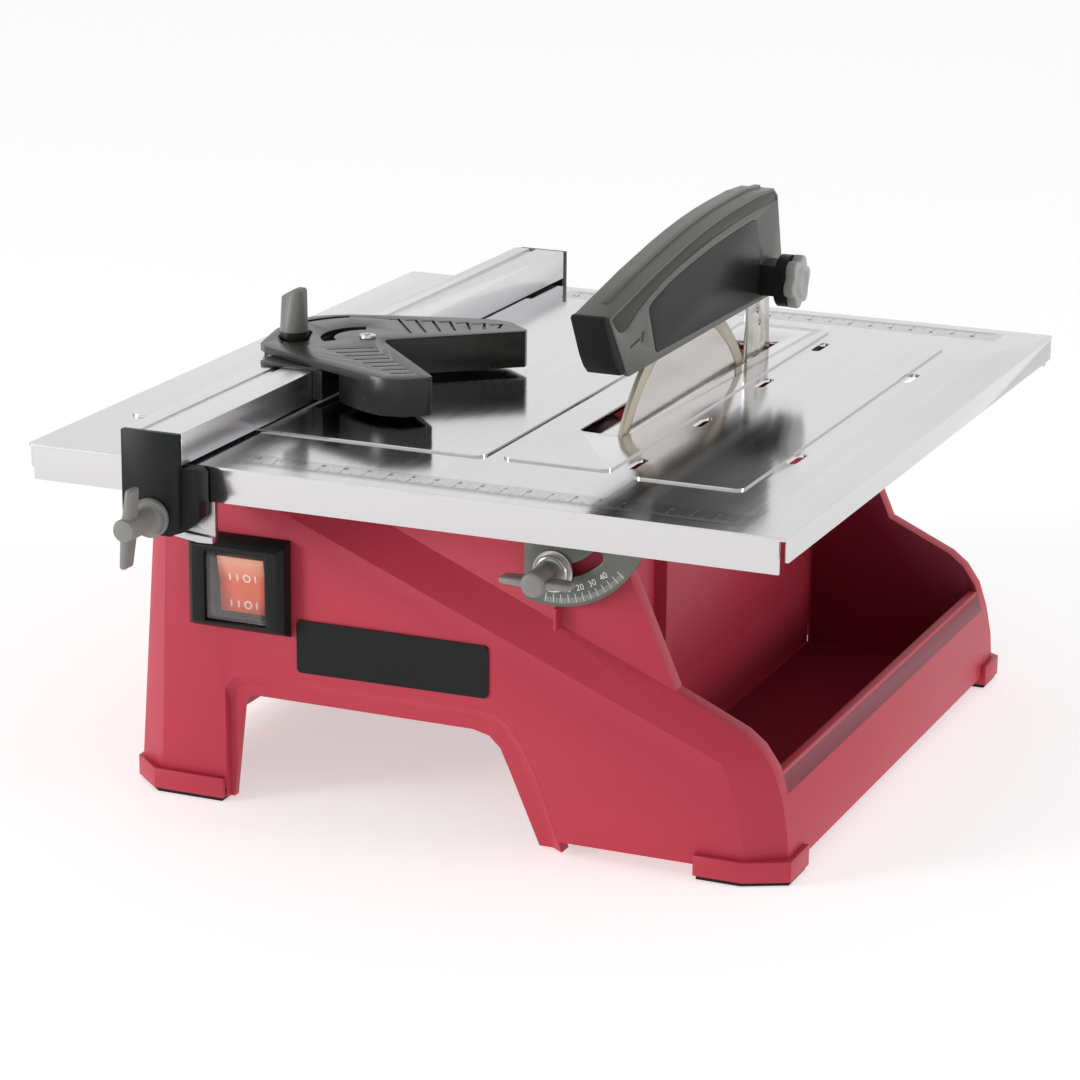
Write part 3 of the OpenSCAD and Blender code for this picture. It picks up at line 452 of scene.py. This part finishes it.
floorMesh = bpy.data.meshes.new("studioFloor")
bm = bmesh.new()
bmesh.ops.create_grid(bm, x_segments=1, y_segments=1, size=studio["floorReach"])
bm.to_mesh(floorMesh)
bm.free()
floorMesh.materials.append(floorPaint.material)
studioFloor = bpy.data.objects.new("studioFloor", floorMesh)
scene.collection.objects.link(studioFloor)
studioFloor.location.z = -studio["floorDrop"]
studioFloor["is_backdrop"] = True


def finishPiece(bm, name, body, paint, replaced=(), sharp=38.0):
    for face in bm.faces:
        face.smooth = True
    for edge in bm.edges:
        if len(edge.link_faces) == 2:
            edge.smooth = edge.calc_face_angle(0.0) < math.radians(sharp)
    mesh = bpy.data.meshes.new(name)
    bm.to_mesh(mesh)
    bm.free()
    for one in (paint if isinstance(paint, (list, tuple)) else [paint]):
        mesh.materials.append(one.material)
    made = bpy.data.objects.new(name, mesh)
    scene.collection.objects.link(made)
    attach(made, body)
    if replaced:
        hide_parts(*replaced)
    return made


def merged(node):
    bm = bmesh.new()
    bm.from_mesh(nodes[node].data)
    bmesh.ops.remove_doubles(bm, verts=bm.verts, dist=2e-6)
    bmesh.ops.dissolve_limit(bm, angle_limit=math.radians(0.6), verts=bm.verts, edges=bm.edges)
    return bm


def bevelEdges(bm, edges, width, segments):
    bmesh.ops.bevel(bm, geom=edges, offset=width, offset_type="OFFSET", affect="EDGES", segments=segments,
                    profile=0.5, material=-1, clamp_overlap=True)


def sharpEdges(bm, angle, shortest):
    return [e for e in bm.edges if len(e.link_faces) == 2 and e.calc_face_angle(0.0) > math.radians(angle)
            and e.calc_length() > shortest]


bodyOf = {n: b for b, group in frame["record"]["behaviour"]["bodies"].items() for n in group}


def softened(node, name, paint, width, segments=2, angle=32.0):  # the CAD shape with its edges rounded
    bm = merged(node)
    width *= mm
    if width:
        bevelEdges(bm, sharpEdges(bm, angle, width * 1.5), width, segments)
    return finishPiece(bm, name, bodyOf[node], paint, (node,))


# name of the piece, finish, edge radius in mm
roundedNodes = {
    "base_shell": ("redBase", trayPlastic, 0.8),
    "tub_walls": ("waterTub", redPlastic, 0.4),
    "front_arch_rim": ("archRim", redPlastic, 0.5),
    "corner_feet": ("cornerFeet", redPlastic, 0.6),
    "rubber_pads": ("rubberPads", blackRubber, 0.3),
    "front_nameplate": ("blankPlate", blackPlastic, 0.25),
    "switch_bezel": ("switchBezel", blackPlastic, 0.8),
    "switch_rocker": ("switchRocker", rockerPlastic, 0.5),
    "switch_cover": ("switchCover", clearCover, 0.4),
    "motor_can": ("motorCan", motorPaint, 0.5),
    "motor_caps": ("motorCaps", castAlloy, 0.8),
    "blade_core": ("bladeCore", bladeSteel, 0.0),
    "blade_rim": ("bladeRim", bladeGrit, 0.2),
    "blade_flanges": ("bladeFlanges", zincSteel, 0.3),
    "arbor_nut": ("arborNut", zincSteel, 0.4),
    "lower_guard": ("splashPlate", tubSteel, 0.2),
    "splitter": ("splitterBlade", splitterSteel, 0.15),
    "table_sheet": ("tableTop", tableSteel, 0.35),
    "front_bracket": ("frontBracket", bracketSteel, 0.2),
    "rear_bracket": ("rearBracket", bracketSteel, 0.2),
    "fence_rail": ("fenceRail", fenceAlloy, 0.5),
    "fence_clamp": ("fenceClamp", blackPlastic, 0.7),
    "fence_jaw": ("fenceJaw", zincSteel, 0.2),
    "fence_hook": ("fenceHook", blackPlastic, 0.7),
    "gauge_saddle": ("gaugeSaddle", gaugePlastic, 0.4),
    "gauge_head": ("gaugeHead", gaugePlastic, 0.4),
    "guard_shells": ("guardShells", guardPlastic, 0.5),
    "guard_side_plates": ("guardPlates", blackPlastic, 0.2),
    "guard_bands": ("guardBands", bandPlastic, 0.15),
    "gauge_knob": ("gaugeKnob", knobPlastic, 1.1),
    "gauge_collar": ("gaugeCollar", gaugePlastic, 0.5),
    "guard_flap": ("guardFlap", blackRubber, 1.0),
    "guard_knob_seat": ("guardKnobSeat", blackPlastic, 0.5),
    "cord_inlet": ("cordInlet", blackRubber, 0.4),
    "drain_plug": ("drainPlug", blackRubber, 0.6),
}
for node, (name, paint, width) in roundedNodes.items():
    softened(node, name, paint, width)
print("rounded pieces made:", len(roundedNodes))

# nodes kept as they are, with a finish
plainNodes = {
    "tilt_pins": zincSteel, "rest_bumpers": blackRubber, "stator": windingPaint, "rotor": castAlloy,
    "motor_shaft": zincSteel, "motor_bearings": zincSteel, "cooling_fan": blackPlastic,
    "splitter_bolts": zincSteel, "motor_screws": zincSteel, "bracket_rivets": zincSteel,
    "front_lock_stud": zincSteel, "rear_lock_stud": zincSteel,
    "fence_bolt": zincSteel, "gauge_screw": zincSteel, "guard_bolt": zincSteel, "fence_screws": zincSteel,
    "guard_screws": zincSteel,
}
for node, paint in plainNodes.items():
    mesh = nodes[node].data
    mesh.materials.clear()
    mesh.materials.append(paint.material)
print("kept nodes finished:", len(plainNodes))


def turned(bm, points, steps=48):  # a lathe shape round Z from a few points (radius, height) in mm
    made = [bm.verts.new((r * mm, 0, h * mm)) for r, h in points]
    edges = [bm.edges.new(pair) for pair in zip(made, made[1:])]
    bmesh.ops.spin(bm, geom=made + edges, cent=(0, 0, 0), axis=(0, 0, 1), angle=math.tau, steps=steps,
                   use_merge=True)
    bmesh.ops.remove_doubles(bm, verts=bm.verts, dist=1e-6)
    bmesh.ops.recalc_face_normals(bm, faces=bm.faces)


def block(bm, low, high, edge, segments=3, taper=1.0):  # a rounded bar, narrower at its outer end by taper
    made = bmesh.ops.create_cube(bm, size=1.0)["verts"]
    middle = (Vector(low) + Vector(high)) / 2
    size = Vector(high) - Vector(low)
    bmesh.ops.scale(bm, vec=size, verts=made)
    bmesh.ops.translate(bm, vec=middle, verts=made)
    outer = [v for v in made if abs(v.co.x) > abs(middle.x)]
    bmesh.ops.scale(bm, vec=(1, taper, taper), verts=outer, space=Matrix.Translation(-middle))
    edges = {e for v in made for e in v.link_edges}
    bevelEdges(bm, list(edges), edge, segments)


def facing(direction, turn=0.0):  # Z of a knob turned to point along Y
    tip = Matrix.Rotation(math.radians(-90 if direction > 0 else 90), 4, "X")
    return tip @ Matrix.Rotation(math.radians(turn), 4, "Z")


def vertsOf(found):
    return [g for g in found if isinstance(g, bmesh.types.BMVert)]


def openEdgesOf(found):
    return [g for g in found if isinstance(g, bmesh.types.BMEdge) and len(g.link_faces) == 1]


wingKnobs = {
    "front_lock_knob": {"name": "frontLockKnob", "direction": -1, "hub": 7.4, "disc": 5.5,
                        "span": 15.3, "length": 21.3, "turn": 0.0, "root": 0.5},
    "rear_lock_knob": {"name": "rearLockKnob", "direction": 1, "hub": 7.4, "disc": 5.5,
                       "span": 15.3, "length": 21.3, "turn": 0.0, "root": 0.5},
    "fence_knob": {"name": "fenceKnob", "direction": -1, "hub": 8.2, "disc": 5.1,
                   "span": 16.8, "length": 23.7, "turn": 84.0, "root": 0.0},
}
# mm, with foot and head measured back from the knob's end
wing = {"half": 1.75, "foot": 10.2, "head": 0.9, "edge": 1.2, "taper": 0.82}
for node, k in wingKnobs.items():
    boxLow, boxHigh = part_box(node)
    seat = boxHigh[1] if k["direction"] < 0 else boxLow[1]
    middle = Vector(((boxLow[0] + boxHigh[0]) / 2, seat, (boxLow[2] + boxHigh[2]) / 2))
    bm = bmesh.new()
    hub, disc, length = k["hub"], k["disc"], k["length"]
    turned(bm, [(3.1, 0.0), (hub - 0.4, 0.0), (hub, 0.4), (hub, 2.4), (hub - 0.5, 3.0), (hub - 1.3, 2.6),
                (disc + 0.6, 3.2), (disc, 4.6), (disc * 0.93, length * 0.5), (disc * 0.95, length - 1.2),
                (disc * 0.86, length - 0.3), (disc * 0.6, length), (0.0, length + 0.02)])
    for side in (-1, 1):
        near, far = sorted((side * disc * 0.5, side * k["span"]))
        low = Vector((near, -wing["half"], length - wing["foot"]))
        high = Vector((far, wing["half"], length - wing["head"]))
        block(bm, low * mm, high * mm, wing["edge"] * mm, 3, wing["taper"])
    for face in bm.faces:  # bright metal root under the plastic head
        face.material_index = int(face.calc_center_median().z < k["root"] * length * mm)
    place = Matrix.Translation(middle) @ facing(k["direction"], k["turn"])
    bmesh.ops.transform(bm, matrix=place, verts=bm.verts)
    finishPiece(bm, k["name"], bodyOf[node], (knobPlastic, zincSteel), (node,), 50.0)

guardKnob = {"radius": 12.0, "dip": 0.19, "lobes": 6, "turn": 12.0, "thick": 5.0, "edge": 1.0, "face": 7.6,
             "crown": 5.4, "rise": 1.2}
boxLow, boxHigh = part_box("guard_knob")
bm = bmesh.new()
rim = bmesh.ops.create_circle(bm, cap_ends=True, segments=96, radius=guardKnob["radius"] * mm)["verts"]
for vert in rim:  # pull the circle in between its lobes
    angle = math.atan2(vert.co.y, vert.co.x) - math.radians(guardKnob["turn"])
    vert.co *= 1.0 - guardKnob["dip"] * (0.5 + 0.5 * math.cos(guardKnob["lobes"] * angle)) ** 1.6
top = bmesh.ops.extrude_face_region(bm, geom=list(bm.faces))["geom"]
bmesh.ops.translate(bm, vec=(0, 0, guardKnob["thick"] * mm), verts=vertsOf(top))
bmesh.ops.recalc_face_normals(bm, faces=bm.faces)
bevelEdges(bm, sharpEdges(bm, 60.0, 0.0), guardKnob["edge"] * mm, 3)
crown = bmesh.new()
thick, lip = guardKnob["thick"], guardKnob["crown"]
peak = thick + guardKnob["rise"]
turned(crown, [(guardKnob["face"], thick - 0.3), (guardKnob["face"], thick), (lip + 0.6, peak), (lip, peak),
               (lip - 0.8, thick + 0.5), (0.0, thick + 0.5)])
part = bpy.data.meshes.new("guardKnobCrown")
crown.to_mesh(part)
crown.free()
bm.from_mesh(part)
bpy.data.meshes.remove(part)
place = Matrix.Translation((boxLow[0], (boxLow[1] + boxHigh[1]) / 2, (boxLow[2] + boxHigh[2]) / 2))
bmesh.ops.transform(bm, matrix=place @ Matrix.Rotation(math.radians(90), 4, "Y"), verts=bm.verts)
finishPiece(bm, "guardKnob", bodyOf["guard_knob"], paleKnobPlastic,
            ("guard_knob",), 42.0)

# the gauge's pivot screw, with a cross recess
pivotScrew = {"radius": 3.6, "height": 0.9, "slot": 0.42, "reach": 2.0, "depth": 0.7, "flare": 1.04,
              "stem": 2.45}


def inCross(face):
    near, far = sorted(abs(c) for c in face.calc_center_median().xy)
    return near < pivotScrew["slot"] * mm and far < pivotScrew["reach"] * mm


boxLow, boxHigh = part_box("gauge_pivot")
bm = bmesh.new()
bmesh.ops.create_circle(bm, cap_ends=True, segments=40, radius=pivotScrew["radius"] * mm)
for reach in (pivotScrew["slot"], pivotScrew["reach"]):
    for normal in ((1, 0, 0), (-1, 0, 0), (0, 1, 0), (0, -1, 0)):
        bmesh.ops.bisect_plane(bm, geom=list(bm.verts) + list(bm.edges) + list(bm.faces), dist=1e-7,
                               plane_co=Vector(normal) * reach * mm, plane_no=normal)
cross = [f for f in bm.faces if inCross(f)]
rimEdges = openEdgesOf(bm.edges)
sunk = bmesh.ops.extrude_face_region(bm, geom=cross)["geom"]
bmesh.ops.delete(bm, geom=cross, context="FACES_ONLY")
bmesh.ops.translate(bm, vec=(0, 0, -pivotScrew["depth"] * mm), verts=vertsOf(sunk))
skirt = bmesh.ops.extrude_edge_only(bm, edges=rimEdges)["geom"]
skirtVerts = vertsOf(skirt)
bmesh.ops.translate(bm, vec=(0, 0, -pivotScrew["height"] * mm), verts=skirtVerts)
bmesh.ops.scale(bm, vec=(pivotScrew["flare"], pivotScrew["flare"], 1), verts=skirtVerts)
inner = bmesh.ops.extrude_edge_only(bm, edges=openEdgesOf(skirt))["geom"]
narrow = pivotScrew["stem"] / pivotScrew["radius"] / pivotScrew["flare"]
bmesh.ops.scale(bm, vec=(narrow, narrow, 1), verts=vertsOf(inner))
stem = bmesh.ops.extrude_edge_only(bm, edges=openEdgesOf(inner))["geom"]
bmesh.ops.translate(bm, vec=(0, 0, boxLow[2] + pivotScrew["height"] * mm - boxHigh[2]), verts=vertsOf(stem))
bmesh.ops.contextual_create(bm, geom=openEdgesOf(stem))
bmesh.ops.recalc_face_normals(bm, faces=bm.faces)
screwSpot = ((boxLow[0] + boxHigh[0]) / 2, (boxLow[1] + boxHigh[1]) / 2, boxHigh[2])
bmesh.ops.translate(bm, vec=screwSpot, verts=bm.verts)
finishPiece(bm, "gaugePivot", bodyOf["gauge_pivot"], zincSteel, ("gauge_pivot",))
print("knobs and pivot screw made")


def lettering(bm, words, size, place):  # flat words, size in mm, standing on the XY plane of place
    data = bpy.data.curves.new("scaleWords", "FONT")
    data.body, data.size, data.align_x, data.align_y = words, size * mm, "CENTER", "CENTER"
    made = bpy.data.objects.new("scaleWords", data)
    scene.collection.objects.link(made)
    bpy.context.view_layer.update()
    mesh = bpy.data.meshes.new_from_object(made)
    mesh.transform(place)
    bm.from_mesh(mesh)
    bpy.data.objects.remove(made)
    bpy.data.meshes.remove(mesh)


rulerNumbers = {"zero": 51.0, "step": 10.0, "from": -12, "to": 8, "size": 4.2, "front": -166.6,
                "rear": 168.4, "lift": 0.05}
bm = bmesh.new()
for row in ("front", "rear"):
    for count in range(rulerNumbers["from"], rulerNumbers["to"] + 1):
        along = rulerNumbers["zero"] + count * rulerNumbers["step"]
        place = Matrix.Translation(at(along, rulerNumbers[row], rulerNumbers["lift"]))
        lettering(bm, str(abs(count)), rulerNumbers["size"], place)
finishPiece(bm, "rulerNumbers", "table", darkInk)

degreeNumbers = {"centre": (53.5, -146.9, -11.5), "radius": 33.6, "size": 3.6, "values": (0, 10, 20, 30, 40)}
bm = bmesh.new()
for value in degreeNumbers["values"]:
    angle = math.radians(value - 90)
    x, y, z = degreeNumbers["centre"]
    reach = degreeNumbers["radius"]
    spot = at(x + reach * math.cos(angle), y, z + reach * math.sin(angle))
    upright = Matrix.Rotation(math.radians(90), 4, "X") @ Matrix.Rotation(math.radians(value), 4, "Z")
    lettering(bm, str(value), degreeNumbers["size"], Matrix.Translation(spot) @ upright)
finishPiece(bm, "degreeNumbers", "table", paleInk)
print("scale numbers made")

low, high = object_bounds()
